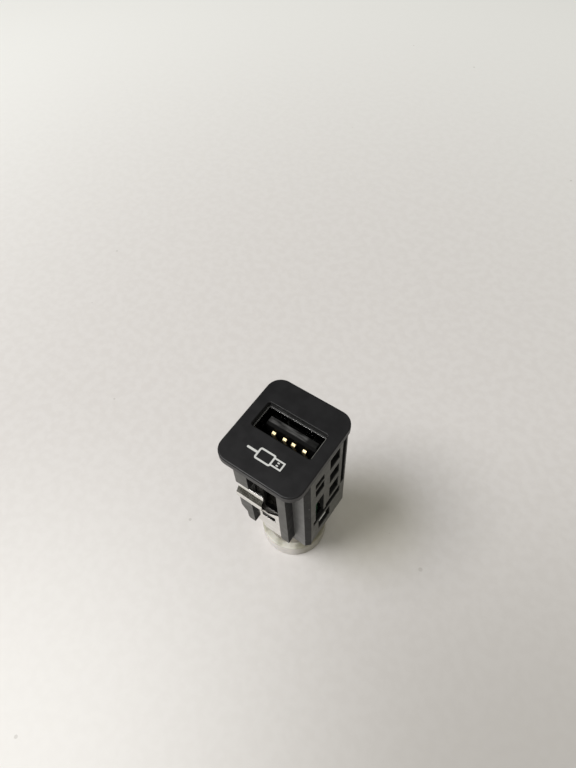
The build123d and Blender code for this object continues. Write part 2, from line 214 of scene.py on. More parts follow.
# %% Group: soft edge
def make_soft_edge():
    tree, start, end = start_group(
        "soft_edge",
        [
            ("Radius", FLOAT, 0.1 * MM), ("Height", FLOAT, 0.0),
            ("Strength", FLOAT, 0.3), ("Distance", FLOAT, 0.1 * MM),
        ],
        [("Normal", VECTOR), ("Edge", FLOAT)],
    )
    bevel = add_node(tree, "ShaderNodeBevel", {"samples": 6}, Radius=start.outputs["Radius"])
    flat = tree.nodes.new("ShaderNodeNewGeometry")
    turn = add_node(
        tree, "ShaderNodeVectorMath", {"operation": "DOT_PRODUCT"},
        at_0=bevel.outputs["Normal"], at_1=flat.outputs["Normal"],
    )
    edge = ramp(tree, turn.outputs["Value"], 0.99, 0.75)
    bump = add_node(
        tree, "ShaderNodeBump",
        Strength=start.outputs["Strength"], Distance=start.outputs["Distance"],
        Height=start.outputs["Height"], Normal=bevel.outputs["Normal"],
    )
    tree.links.new(bump.outputs["Normal"], end.inputs["Normal"])
    tree.links.new(edge, end.inputs["Edge"])
    return tree


SOFT_EDGE = make_soft_edge()
print("group:", SOFT_EDGE.name)

# %% [markdown]
# ## Moulded grain and dust
# A satin moulding is etched with a fine grain. Two noises of different size, added, give it: the coarse
# one is the etching, the fine one the sparkle. A third, much broader noise gives patches. Dust is sparse
# and random, so it is a Voronoi pattern in which only the cells with a high random value carry a speck,
# and each speck is a small disc about its point.

# %% Group: moulded grain
def make_grain():
    tree, start, end = start_group(
        "moulded_grain",
        [("Vector", VECTOR, None), ("Scale", FLOAT, 3000.0)],
        [("Height", FLOAT), ("Patch", FLOAT)],
    )
    where, scale = start.outputs["Vector"], start.outputs["Scale"]
    coarse = add_node(tree, "ShaderNodeTexNoise", Vector=where, Scale=scale, Detail=2.0)
    fine_scale = do_math(tree, "MULTIPLY", scale, 3.7)
    fine = add_node(tree, "ShaderNodeTexNoise", Vector=where, Scale=fine_scale, Detail=1.0)
    patch_scale = do_math(tree, "MULTIPLY", scale, 0.12)
    patch = add_node(tree, "ShaderNodeTexNoise", Vector=where, Scale=patch_scale, Detail=3.0)
    height = do_math(tree, "ADD", coarse.outputs[0], do_math(tree, "MULTIPLY", fine.outputs[0], 0.5))
    tree.links.new(height, end.inputs["Height"])
    tree.links.new(patch.outputs[0], end.inputs["Patch"])
    return tree


GRAIN = make_grain()
print("group:", GRAIN.name)

# %% Group: dust
def make_dust():
    tree, start, end = start_group(
        "dust",
        [("Vector", VECTOR, None), ("Scale", FLOAT, 400.0), ("Share", FLOAT, 0.1), ("Size", FLOAT, 0.2)],
        [("Mask", FLOAT)],
    )
    cells = add_node(
        tree, "ShaderNodeTexVoronoi", {"feature": "F1"},
        Vector=start.outputs["Vector"], Scale=start.outputs["Scale"], Randomness=1.0,
    )
    split = add_node(tree, "ShaderNodeSeparateColor", Color=cells.outputs["Color"])
    limit = do_math(tree, "SUBTRACT", 1.0, start.outputs["Share"])
    chosen = do_math(tree, "GREATER_THAN", split.outputs["Red"], limit)
    share_of_size = do_math(tree, "ADD", split.outputs["Green"], 0.3)
    size = do_math(tree, "MULTIPLY", start.outputs["Size"], share_of_size)
    near = do_math(tree, "LESS_THAN", cells.outputs["Distance"], size)
    tree.links.new(do_math(tree, "MULTIPLY", chosen, near), end.inputs["Mask"])
    return tree


DUST = make_dust()
print("group:", DUST.name)

# %% [markdown]
# ## Drawing the printed mark
# The face carries a small white print. A picture would be the usual way, but a print made of plain shapes
# can be worked out: a rounded box has a simple formula for the distance from any point to its edge, so a
# mask is white where that distance is below zero. The print here is a plain plug: a lead, and the
# outlines of a body and of a nose with two pads. An outline is a box without a smaller box, which is the
# larger of the one distance and the other one reversed. The print is drawn in millimetres, in the plane
# of the face, about its own middle.

# %% Group: rounded box
def make_rounded_box():
    tree, start, end = start_group(
        "rounded_box",
        [
            ("Across", FLOAT, 0.0), ("Up", FLOAT, 0.0),
            ("Middle Across", FLOAT, 0.0), ("Middle Up", FLOAT, 0.0),
            ("Half Width", FLOAT, 1.0), ("Half Height", FLOAT, 1.0), ("Corner", FLOAT, 0.2),
        ],
        [("Distance", FLOAT)],
    )

    def overshoot(coordinate, middle, half):
        offset = do_math(tree, "SUBTRACT", start.outputs[coordinate], start.outputs[middle])
        inner = do_math(tree, "SUBTRACT", start.outputs[half], start.outputs["Corner"])
        return do_math(tree, "SUBTRACT", do_math(tree, "ABSOLUTE", offset), inner)

    over_x = overshoot("Across", "Middle Across", "Half Width")
    over_y = overshoot("Up", "Middle Up", "Half Height")
    square_x = do_math(tree, "POWER", do_math(tree, "MAXIMUM", over_x, 0.0), 2.0)
    square_y = do_math(tree, "POWER", do_math(tree, "MAXIMUM", over_y, 0.0), 2.0)
    outside = do_math(tree, "SQRT", do_math(tree, "ADD", square_x, square_y))
    inside = do_math(tree, "MINIMUM", do_math(tree, "MAXIMUM", over_x, over_y), 0.0)
    distance = do_math(tree, "SUBTRACT", do_math(tree, "ADD", outside, inside), start.outputs["Corner"])
    tree.links.new(distance, end.inputs["Distance"])
    return tree


ROUNDED_BOX = make_rounded_box()

# %% Group: plug mark
MARK_MIDDLE = (-0.2, -5.5)
MARK_EDGE = 0.03
# Each shape: middle across, middle up, half width, half height, corner, all in millimetres
MARK_LEAD = (-2.9, 0.0, 1.3, 0.22, 0.22)
MARK_BODY = (-0.2, 0.0, 1.75, 1.25, 0.45)
MARK_BODY_HOLE = (-0.2, 0.0, 1.40, 0.90, 0.15)
MARK_NOSE = (2.55, 0.0, 1.15, 0.9, 0.12)
MARK_NOSE_HOLE = (2.45, 0.0, 0.95, 0.6, 0.05)
MARK_PADS = [(2.55, -0.28, 0.22, 0.13, 0.04), (2.55, 0.28, 0.22, 0.13, 0.04)]


def make_plug_mark():
    tree, start, end = start_group("plug_mark", [("Vector", VECTOR, None)], [("Mask", FLOAT)])
    place = start.outputs["Vector"]

    def from_middle(axis, middle):
        in_mm = do_math(tree, "DIVIDE", axis_of(tree, place, axis), MM)
        return do_math(tree, "SUBTRACT", in_mm, middle)

    across = from_middle("X", MARK_MIDDLE[0])
    up = from_middle("Y", MARK_MIDDLE[1])

    def shape(sizes):
        names = ("Middle Across", "Middle Up", "Half Width", "Half Height", "Corner")
        node = use_group(tree, ROUNDED_BOX, Across=across, Up=up)
        for name, value in zip(names, sizes):
            node.inputs[name].default_value = value
        return node.outputs["Distance"]

    def outline(outer, hole):
        return do_math(tree, "MAXIMUM", shape(outer), do_math(tree, "MULTIPLY", shape(hole), -1.0))

    body = outline(MARK_BODY, MARK_BODY_HOLE)
    nearest = do_math(tree, "MINIMUM", body, outline(MARK_NOSE, MARK_NOSE_HOLE))
    for sizes in [MARK_LEAD] + MARK_PADS:
        nearest = do_math(tree, "MINIMUM", nearest, shape(sizes))
    tree.links.new(ramp(tree, nearest, MARK_EDGE, -MARK_EDGE), end.inputs["Mask"])
    return tree


PLUG_MARK = make_plug_mark()
print("mark groups:", ROUNDED_BOX.name, PLUG_MARK.name)

# %% [markdown]
# ## Black moulding
# Satin black plastic has almost no colour of its own. From above it mirrors a dim ceiling and looks
# black, so the face stays truly dark. The sleeve's walls are seen at a flat angle, where any gloss
# mirrors far more, so they take a grey sheen from the pale table. They are also a little greyer in
# themselves, as rough plastic is after handling. That makes the walls towards the window lighter than the
# ones that turn away from it.
#
# A mask by height tells face from sleeve, above and below the plate's underside. The masks of the sleeve go
# by place too. Its front corners are rougher still and carry painted shade, a darker grey: a point lies in
# such a corner when it is behind the front wall's plane and its distance from the middle, sideways and to
# the front together, is large. The inside of the sleeve and the right flanks of the post and the rib carry
# painted shade and are near black. The strip of the front wall beside the rib carries a painted sheen, a
# lighter grey. The port's opening below the face carries painted shade as well.

# %% Masks: places on the sleeve
FRONT_PLANE = -5.08 * MM
BACK_PLANE = 9.18 * MM
SIDE_PLANE = 8.28 * MM
FRONT_CORNER_START = 12.35 * MM
BACK_CORNER_START = 16.75 * MM
OFF_FRONT_WALL = -5.2 * MM
RIB_FLANK = 4.6 * MM
POST_FLANK = -4.5 * MM
FLANK_REACH = 0.03 * MM
FLANK_FADE = 0.01 * MM
STRIP_END = 7.3 * MM
SKIN = 0.1 * MM
FADE = 0.05 * MM
FINE_FADE = 0.02 * MM


def in_shaded_front_corner(tree, sideways, backwards):
    """Mask of the painted shade on the two slanted corners of the front."""
    reach = do_math(tree, "SUBTRACT", sideways, backwards)
    return product(
        tree,
        ramp(tree, reach, FRONT_CORNER_START, FRONT_CORNER_START + FINE_FADE),
        ramp(tree, backwards, FRONT_PLANE - FINE_FADE, FRONT_PLANE),
    )


def in_sheen_strip(tree, across, backwards):
    """Mask of the painted sheen on the front wall between the rib and the corner."""
    beside_rib = between(tree, across, RIB_FLANK + SKIN, STRIP_END, FADE)
    return product(tree, beside_rib, between(tree, backwards, OFF_FRONT_WALL, FRONT_PLANE, FINE_FADE))


def in_painted_shade(tree, across, sideways, backwards, corner):
    """Mask of the painted shade: the right flanks of post and rib, and all that lies under the sleeve's
    skin.
    """
    rib, post = (
        between(tree, across, flank - FLANK_REACH, flank + FLANK_REACH, FLANK_FADE)
        for flank in (RIB_FLANK, POST_FLANK)
    )
    ahead = ramp(tree, backwards, OFF_FRONT_WALL, OFF_FRONT_WALL + FADE, 1.0, 0.0)
    flanks = product(tree, do_math(tree, "ADD", rib, post), ahead)
    back_reach = do_math(tree, "ADD", sideways, backwards)
    inside = product(
        tree,
        ramp(tree, sideways, SIDE_PLANE - 2 * SKIN, SIDE_PLANE - SKIN, 1.0, 0.0),
        between(tree, backwards, FRONT_PLANE + 2 * SKIN, BACK_PLANE - 2 * SKIN, SKIN),
        ramp(tree, back_reach, BACK_CORNER_START - SKIN, BACK_CORNER_START, 1.0, 0.0),
        invert(tree, corner),
    )
    return do_math(tree, "ADD", inside, flanks, clamp=True)


print("sleeve in mm: front", FRONT_PLANE / MM, "back", BACK_PLANE / MM, "side", SIDE_PLANE / MM)

# %% Material: black moulding
FACE_UNDERSIDE = 44.2 * MM
UNDERSIDE_FADE = 0.2 * MM
FACE_TOP = 45.9 * MM
PORT_HALF_WIDTH = 6.75 * MM
PORT_FRONT = -1.7 * MM
PORT_BACK = 4.5 * MM


def make_black_moulding():
    material, tree, shader, place = start_material("black_moulding", grey(0.004), 0.42)
    shader.inputs["Specular IOR Level"].default_value = 0.40
    grain = use_group(tree, GRAIN, Vector=place, Scale=3500.0)
    patch = grain.outputs["Patch"]
    dust = use_group(tree, DUST, Vector=place, Scale=330.0, Share=0.025, Size=0.09)
    scuffs = use_group(tree, DUST, Vector=place, Scale=1600.0, Share=0.14, Size=0.22)
    edge = use_group(
        tree, SOFT_EDGE, Radius=0.12 * MM, Height=grain.outputs["Height"], Strength=0.22, Distance=0.02 * MM
    )

    across = axis_of(tree, place, "X")
    sideways = do_math(tree, "ABSOLUTE", across)
    backwards = axis_of(tree, place, "Y")
    height = axis_of(tree, place, "Z")
    on_plate = ramp(tree, height, FACE_UNDERSIDE, FACE_UNDERSIDE + UNDERSIDE_FADE)
    on_top = ramp(tree, height, FACE_TOP, FACE_TOP + FADE)
    off_plate = invert(tree, on_plate)
    corner = product(tree, in_shaded_front_corner(tree, sideways, backwards), off_plate)
    strip = product(tree, in_sheen_strip(tree, across, backwards), off_plate)
    painted_shade_mask = product(tree, in_painted_shade(tree, across, sideways, backwards, corner), off_plate)
    outer_skin = do_math(tree, "SUBTRACT", off_plate, painted_shade_mask, clamp=True)
    # Painted shade in the port's opening and under it, below the face.
    mouth_shade = product(
        tree,
        ramp(tree, sideways, PORT_HALF_WIDTH, PORT_HALF_WIDTH + FADE, 1.0, 0.0),
        between(tree, backwards, PORT_FRONT, PORT_BACK, FADE),
        invert(tree, on_top),
    )

    plate_tone = blend_colour(tree, patch, (0.002, 0.002, 0.0032, 1), (0.004, 0.004, 0.0056, 1))
    sleeve_tone = blend_colour(tree, patch, (0.046, 0.046, 0.042, 1), (0.076, 0.076, 0.070, 1))
    print_tone = blend_colour(tree, patch, (0.52, 0.53, 0.52, 1), (0.66, 0.67, 0.66, 1))
    mark = use_group(tree, PLUG_MARK, Vector=place)
    tone = lay_over(tree, sleeve_tone, [
        (on_plate, plate_tone),
        # Painted shade: the front corners are a darker grey.
        (corner, grey(0.022)),
        # Painted sheen: the strip beside the rib is a lighter grey.
        (strip, grey(0.15)),
        # Painted shade: the flanks and the inside are near black.
        (painted_shade_mask, grey(0.003)),
        (product(tree, scuffs.outputs["Mask"], outer_skin, 0.5), grey(0.20)),
        (product(tree, edge.outputs["Edge"], 0.25), grey(0.04)),
        (product(tree, dust.outputs["Mask"], 0.6), grey(0.30)),
        # Painted shade: the port's opening is near black, over the edge line and the dust.
        (mouth_shade, grey(0.001)),
        (product(tree, mark.outputs["Mask"], on_top), print_tone),
    ])

    plate_rough = ramp(tree, patch, 0.3, 0.7, 0.38, 0.46)
    roughness = ramp(tree, patch, 0.3, 0.7, 0.34, 0.46)
    rough_gap = do_math(tree, "SUBTRACT", plate_rough, roughness)
    for mask, more in ((on_plate, rough_gap), (corner, 0.4), (mouth_shade, 0.3), (painted_shade_mask, 0.3)):
        roughness = do_math(tree, "ADD", roughness, product(tree, mask, more))
    return finish_material(material, tone, edge.outputs["Normal"], roughness)


BLACK_MOULDING = make_black_moulding()
print("material:", BLACK_MOULDING.name)

# %% [markdown]
# ## Tongue
# The end of the tongue goes grey: partly the wear of plugs that rub it each time they go in, partly a
# painted sheen of the light on the end face. A height mask picks the end face, two more masks keep the grey
# off its front slope and its right end, and stretched noise breaks the grey up.

# %% Material: tongue and insulator
TONGUE_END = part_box("contact_tongue")[1][2]
RUB_DEPTH = 0.1 * MM
RUB_RIGHT = 3.4 * MM
RUB_RIGHT_FADE = 0.6 * MM
RUB_FRONT = 1.95 * MM
RUB_FRONT_FADE = 0.2 * MM


def make_black_insulator():
    material, tree, shader, place = start_material("black_insulator", grey(0.01), 0.42)
    shader.inputs["Specular IOR Level"].default_value = 0.15
    grain = use_group(tree, GRAIN, Vector=place, Scale=5000.0)
    edge = use_group(
        tree, SOFT_EDGE, Radius=0.06 * MM, Height=grain.outputs["Height"], Strength=0.10, Distance=0.01 * MM
    )
    stretched = add_node(
        tree, "ShaderNodeVectorMath", {"operation": "MULTIPLY"}, at_0=place, at_1=(500.0, 3500.0, 500.0)
    )
    rubbed = add_node(tree, "ShaderNodeTexNoise", Vector=stretched.outputs[0], Scale=1.0, Detail=3.0)
    rub = product(
        tree,
        ramp(tree, axis_of(tree, place, "Z"), TONGUE_END - RUB_DEPTH, TONGUE_END - RUB_DEPTH / 2),
        ramp(tree, axis_of(tree, place, "X"), RUB_RIGHT - RUB_RIGHT_FADE, RUB_RIGHT, 1.0, 0.1),
        ramp(tree, axis_of(tree, place, "Y"), RUB_FRONT, RUB_FRONT + RUB_FRONT_FADE),
        ramp(tree, rubbed.outputs[0], 0.25, 0.75),
    )
    tone = blend_colour(tree, grain.outputs["Patch"], grey(0.003), grey(0.008))
    # Rub wear and painted sheen: the end face goes grey.
    tone = blend_colour(tree, rub, tone, grey(0.085))
    return finish_material(material, tone, edge.outputs["Normal"])


BLACK_INSULATOR = make_black_insulator()
print("material:", BLACK_INSULATOR.name)

# %% [markdown]
# ## Bright metals
# Rolled strip is not a perfect mirror. It keeps faint lines along the rolling direction and long shallow
# waves from stamping, and these break up what it mirrors. A noise stretched along one axis gives the
# lines, and a large soft noise the waves. One maker function serves all metals, each with its own values.
# The clip is bright spring steel, with a painted highlight, near white, along its lip. The port's shell is
# painted dark, as painted shade for the deep inside of the port, with painted highlights at its rim and on
# its fingers' crests. The rear shield is tinned, and its flange carries painted shade, a dark band. These
# bands go by height.

# %% Group: rolled sheet
def make_rolled_sheet():
    tree, start, end = start_group(
        "rolled_sheet",
        [("Vector", VECTOR, None), ("Lines", VECTOR, (1.0, 1.0, 1.0)), ("Wave", FLOAT, 300.0)],
        [("Height", FLOAT), ("Streak", FLOAT), ("Cloud", FLOAT)],
    )
    where = start.outputs["Vector"]
    stretched = add_node(
        tree, "ShaderNodeVectorMath", {"operation": "MULTIPLY"}, at_0=where, at_1=start.outputs["Lines"]
    )
    lines = add_node(tree, "ShaderNodeTexNoise", Vector=stretched.outputs[0], Scale=1.0, Detail=3.0)
    wave = add_node(tree, "ShaderNodeTexNoise", Vector=where, Scale=start.outputs["Wave"], Detail=2.0)
    height = do_math(tree, "ADD", do_math(tree, "MULTIPLY", lines.outputs[0], 0.15), wave.outputs[0])
    tree.links.new(height, end.inputs["Height"])
    tree.links.new(lines.outputs[0], end.inputs["Streak"])
    tree.links.new(wave.outputs[0], end.inputs["Cloud"])
    return tree


ROLLED_SHEET = make_rolled_sheet()
print("group:", ROLLED_SHEET.name)

# %% Materials: spring steel, shaded shell, tinned sheet, gold
def make_metal(name, dark, light, lines, wave, rough, bump, dust_share, bands=()):
    """Metal sheet. Each band has its two heights, a colour and the share of it that shows."""
    material, tree, _, place = start_material(name, light, rough[0], 1.0)
    sheet = use_group(tree, ROLLED_SHEET, Vector=place, Lines=lines, Wave=wave)
    cloud = sheet.outputs["Cloud"]
    edge = use_group(
        tree, SOFT_EDGE,
        Radius=0.015 * MM, Height=sheet.outputs["Height"], Strength=bump, Distance=0.03 * MM,
    )
    dust = use_group(tree, DUST, Vector=place, Scale=2200.0, Share=dust_share, Size=0.28)
    height = axis_of(tree, place, "Z")
    layers = []
    # The bands paint highlights and shade by height.
    for (low, high), colour, share in bands:
        patchy = ramp(tree, cloud, 0.35, 0.65, share * share, share)
        layers.append((product(tree, between(tree, height, low, high, BAND_FADE), patchy), colour))
    layers.append((product(tree, dust.outputs["Mask"], 0.5), (0.25, 0.22, 0.17, 1)))
    tone = blend_colour(tree, ramp(tree, sheet.outputs["Streak"], 0.3, 0.7), dark, light)
    roughness = ramp(tree, cloud, 0.3, 0.7, rough[0], rough[1])
    return finish_material(material, lay_over(tree, tone, layers), edge.outputs["Normal"], roughness)


SHELL_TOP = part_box("receptacle_shell")[1][2]
CLIP_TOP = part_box("retaining_clip")[1][2]
RIM_HIGHLIGHT_BAND = (SHELL_TOP - 0.05 * MM, SHELL_TOP + 1.0 * MM)
CREST_HIGHLIGHT_BAND = (SHELL_TOP - 2.9 * MM, SHELL_TOP - 2.2 * MM)
LIP_HIGHLIGHT_BAND = (CLIP_TOP - 0.9 * MM, CLIP_TOP + 1.1 * MM)
FLANGE_SHADE_BAND = (13.2 * MM, 14.1 * MM)
BAND_FADE = 0.03 * MM
ALONG_X = (150.0, 4000.0, 4000.0)
ALONG_Z = (4000.0, 4000.0, 150.0)
# Painted highlight: a near-white band along the clip's lip.
SPRING_STEEL = make_metal(
    "spring_steel", (0.72, 0.71, 0.68, 1), (0.90, 0.89, 0.86, 1), ALONG_X, 420.0, (0.08, 0.20), 0.05, 0.03,
    [(LIP_HIGHLIGHT_BAND, grey(1.0), 1.0)],
)
# Painted shade: the shell is dark all over, with painted highlights at its rim and on its fingers' crests.
SHADED_SHELL = make_metal(
    "shaded_shell", (0.035, 0.035, 0.037, 1), (0.06, 0.06, 0.062, 1), ALONG_Z, 700.0, (0.22, 0.28), 0.02, 0.0,
    [(RIM_HIGHLIGHT_BAND, grey(0.6), 0.9), (CREST_HIGHLIGHT_BAND, grey(0.5), 0.8)],
)
# Painted shade: a dark band on the flange.
TINNED_SHEET = make_metal(
    "tinned_sheet", (0.62, 0.62, 0.61, 1), (0.76, 0.76, 0.75, 1), ALONG_Z, 500.0, (0.24, 0.36), 0.06, 0.0,
    [(FLANGE_SHADE_BAND, (0.03, 0.028, 0.024, 1), 1.0)],
)
GOLD = make_metal(
    "gold_plate", (0.80, 0.65, 0.36, 1), (0.92, 0.80, 0.52, 1), ALONG_Z, 900.0, (0.48, 0.60), 0.12, 0.0
)
print("metals:", SPRING_STEEL.name, SHADED_SHELL.name, TINNED_SHEET.name, GOLD.name)

# %% [markdown]
# ## Cream moulding
# The rear connector is an unfilled, milky plastic. Light enters it a little way, which softens its
# shadows, so it has some subsurface scattering. Its colour is not even. Two noises of different size make
# patches: the broad pale one is its own uneven tone, and the small dark one paints olive patches of shade
# and dim reflection at random places. The collar's side carries painted light, a paler band. Above the
# collar the neck carries painted shade in brown, and the whole part has painted shade in dark olive
# towards its right side.

# %% Material: cream moulding
# Heights of the painted light on the collar's side and of the painted shade on the neck, and the reach of
# the painted shade on the right side.
COLLAR_TOP = 4.25 * MM
LIT_SIDE_LOW = COLLAR_TOP - 0.6 * MM
LIT_SIDE_HIGH = COLLAR_TOP - 0.2 * MM
NECK_SHADE_HIGH = COLLAR_TOP + 0.3 * MM
SHADE_SIDE_FROM = 3.2 * MM
SHADE_SIDE_TO = 6.4 * MM


def make_cream_moulding():
    material, tree, shader, place = start_material("cream_moulding", (0.62, 0.61, 0.54, 1), 0.38)
    shader.inputs["Subsurface Weight"].default_value = 0.5
    shader.inputs["Subsurface Radius"].default_value = (1.0, 0.9, 0.7)
    shader.inputs["Subsurface Scale"].default_value = 1.5 * MM
    grain = use_group(tree, GRAIN, Vector=place, Scale=2500.0)
    edge = use_group(
        tree, SOFT_EDGE, Radius=0.12 * MM, Height=grain.outputs["Height"], Strength=0.10, Distance=0.02 * MM
    )
    olive_shade_mottle = add_node(tree, "ShaderNodeTexNoise", Vector=place, Scale=380.0, Detail=3.0)
    tone = blend_colour(
        tree, ramp(tree, grain.outputs["Patch"], 0.35, 0.65), (0.68, 0.67, 0.62, 1), (0.58, 0.572, 0.51, 1)
    )
    dust = use_group(tree, DUST, Vector=place, Scale=500.0, Share=0.06, Size=0.12)
    height = axis_of(tree, place, "Z")
    tone = lay_over(tree, tone, [
        # Painted shade and reflection: small olive patches at random places.
        (ramp(tree, olive_shade_mottle.outputs[0], 0.50, 0.68, 0.0, 0.6), (0.32, 0.315, 0.235, 1)),
        # Painted light: a paler band on the collar's side.
        (ramp(tree, height, LIT_SIDE_LOW, LIT_SIDE_HIGH, 0.7, 0.0), (0.88, 0.84, 0.83, 1)),
        # Painted shade: the neck above the collar turns brown.
        (ramp(tree, height, COLLAR_TOP, NECK_SHADE_HIGH, 0.0, 0.75), (0.26, 0.225, 0.195, 1)),
        # Painted shade: dark olive towards the right side.
        (ramp(tree, axis_of(tree, place, "X"), SHADE_SIDE_FROM, SHADE_SIDE_TO, 0.0, 0.8), (0.20, 0.185, 0.125, 1)),
        (product(tree, dust.outputs["Mask"], 0.5), (0.28, 0.24, 0.17, 1)),
    ])
    return finish_material(material, tone, edge.outputs["Normal"])


CREAM_MOULDING = make_cream_moulding()
print("material:", CREAM_MOULDING.name)

# %% [markdown]
# ## Board and chips
# Little of the circuit board shows through the windows, but the part is looked at from all sides. The
# solder mask is green over faint copper tracks, drawn as a brick pattern whose mortar is the tracks. The
# chips are plain moulded or fired bodies, each with its own tone.

# %% Materials: board and chips
def make_board():
    material, tree, _, place = start_material("solder_mask", (0.02, 0.13, 0.06, 1), 0.28)
    turn = add_node(
        tree, "ShaderNodeMapping", {"vector_type": "POINT"}, Vector=place, Rotation=(math.radians(90), 0, 0)
    )
    tracks = add_node(
        tree, "ShaderNodeTexBrick",
        Vector=turn.outputs[0], Scale=700.0, Mortar_Size=0.06, Mortar_Smooth=0.3,
        Color1=(0.012, 0.10, 0.045, 1), Color2=(0.016, 0.12, 0.055, 1), Mortar=(0.05, 0.22, 0.09, 1),
    )
    edge = use_group(
        tree, SOFT_EDGE, Radius=0.05 * MM, Height=tracks.outputs["Fac"], Strength=0.3, Distance=0.03 * MM
    )
    return finish_material(material, tracks.outputs["Color"], edge.outputs["Normal"])


def make_chip(name, dark, light, roughness):
    material, tree, _, place = start_material(name, light, roughness)
    grain = use_group(tree, GRAIN, Vector=place, Scale=9000.0)
    edge = use_group(
        tree, SOFT_EDGE, Radius=0.05 * MM, Height=grain.outputs["Height"], Strength=0.25, Distance=0.01 * MM
    )
    tone = blend_colour(tree, ramp(tree, grain.outputs["Patch"], 0.3, 0.7), dark, light)
    return finish_material(material, tone, edge.outputs["Normal"])


SOLDER_MASK = make_board()
FERRITE = make_chip("ferrite", (0.05, 0.05, 0.055, 1), (0.09, 0.09, 0.10, 1), 0.5)
CHIP_BODY = make_chip("chip_body", (0.012, 0.012, 0.012, 1), (0.03, 0.03, 0.03, 1), 0.45)
FUSE_BODY = make_chip("fuse_body", (0.02, 0.16, 0.08, 1), (0.04, 0.24, 0.12, 1), 0.35)
CHIP_CERAMIC = make_chip("chip_ceramic", (0.30, 0.20, 0.11, 1), (0.42, 0.30, 0.18, 1), 0.40)
print("chip materials:", FERRITE.name, CHIP_BODY.name, FUSE_BODY.name, CHIP_CERAMIC.name)

# %% [markdown]
# ## Dressing the CAD nodes
# Every CAD node keeps its mesh and only changes its material. One table pairs each node with its finish.

# %% Dress the nodes
FINISHES = {
    "housing": BLACK_MOULDING,
    "retaining_clip": SPRING_STEEL,
    "receptacle_shell": SHADED_SHELL,
    "contact_tongue": BLACK_INSULATOR,
    "circuit_board": SOLDER_MASK,
    "common_mode_choke": FERRITE,
    "surge_protector": CHIP_BODY,
    "resettable_fuse": FUSE_BODY,
    "filter_capacitor_1": CHIP_CERAMIC,
    "filter_capacitor_2": CHIP_CERAMIC,
    "ferrite_bead": FERRITE,
    "rear_housing": CREAM_MOULDING,
    "rear_shield": TINNED_SHEET,
    "rear_insulator": BLACK_INSULATOR,
}
for number in range(1, 5):
    FINISHES[f"contact_{number}"] = GOLD
    FINISHES[f"rear_pin_{number}"] = GOLD

for name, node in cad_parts.items():
    for slot in node.material_slots:
        slot.material = FINISHES[name]
print("dressed:", len(FINISHES), "of", len(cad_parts))

# %% [markdown]
# ## Solder joints
# Each contact tail, shell leg and pin is soldered to the board. A solder joint is a small cone with
# hollow sides: it climbs the metal and spreads on the pad. The joints repeat at known places, so Geometry
# Nodes set them: a point cloud holds the places, one joint is put at every point, and the copies become
# real faces.

# %% Geometry Nodes: put a shape at every point
def make_scatter():
    tree = bpy.data.node_groups.new("set_joints", "GeometryNodeTree")
    kinds = {
        "Geometry": "Geometry", "Joint": "Object", "Size": "Float", "Spread": "Float",
        "Seed": "Int", "Material": "Material",
    }
    for name, kind in kinds.items():
        tree.interface.new_socket(name=name, in_out="INPUT", socket_type="NodeSocket" + kind)
    tree.interface.new_socket(name="Geometry", in_out="OUTPUT", socket_type="NodeSocketGeometry")
    start = tree.nodes.new("NodeGroupInput")
    end = tree.nodes.new("NodeGroupOutput")
    joint = add_node(
        tree, "GeometryNodeObjectInfo", {"transform_space": "ORIGINAL"}, Object=start.outputs["Joint"]
    )
    low = do_math(tree, "SUBTRACT", start.outputs["Size"], start.outputs["Spread"])
    high = do_math(tree, "ADD", start.outputs["Size"], start.outputs["Spread"])
    size = add_node(
        tree, "FunctionNodeRandomValue", {"data_type": "FLOAT"}, Seed=start.outputs["Seed"]
    )
    floats = [item for item in size.inputs if item.type == "VALUE"]
    tree.links.new(low, floats[0])
    tree.links.new(high, floats[1])
    amount = [item for item in size.outputs if item.type == "VALUE"][0]
    points = add_node(tree, "GeometryNodeMeshToPoints", Mesh=start.outputs["Geometry"])
    copies = add_node(
        tree, "GeometryNodeInstanceOnPoints",
        Points=points.outputs[0], Instance=joint.outputs["Geometry"], Scale=amount,
    )
    real = add_node(tree, "GeometryNodeRealizeInstances", Geometry=copies.outputs[0])
    finish = add_node(
        tree, "GeometryNodeSetMaterial", Geometry=real.outputs[0], Material=start.outputs["Material"]
    )
    tree.links.new(finish.outputs[0], end.inputs["Geometry"])
    return tree


SET_JOINTS = make_scatter()


def set_at_points(name, places, shape, size, spread, seed, material):
    """Puts a copy of the shape at each place and returns one plain mesh object."""
    cloud = bpy.data.meshes.new(name + "_places")
    cloud.from_pydata([tuple(place) for place in places], [], [])
    carrier = bpy.data.objects.new(name + "_carrier", cloud)
    bpy.context.scene.collection.objects.link(carrier)
    modifier = carrier.modifiers.new("joints", "NODES")
    modifier.node_group = SET_JOINTS
    values = {"Joint": shape, "Size": size, "Spread": spread, "Seed": seed, "Material": material}
    for item in SET_JOINTS.interface.items_tree:
        if item.in_out == "INPUT" and item.name in values:
            modifier[item.identifier] = values[item.name]
    evaluated = carrier.evaluated_get(bpy.context.evaluated_depsgraph_get())
    mesh = bpy.data.meshes.new_from_object(evaluated)
    mesh.name = name
    piece = bpy.data.objects.new(name, mesh)
    bpy.context.scene.collection.objects.link(piece)
    bpy.data.objects.remove(carrier)
    return piece


print("group:", SET_JOINTS.name)

# %% One solder joint
JOINT_STEPS = 20
JOINT_RADIUS = 0.62 * MM
JOINT_HEIGHT = 0.55 * MM
JOINT_TOP = 0.14 * MM
JOINT_RINGS = 7
JOINT_HOLLOW = 2.2


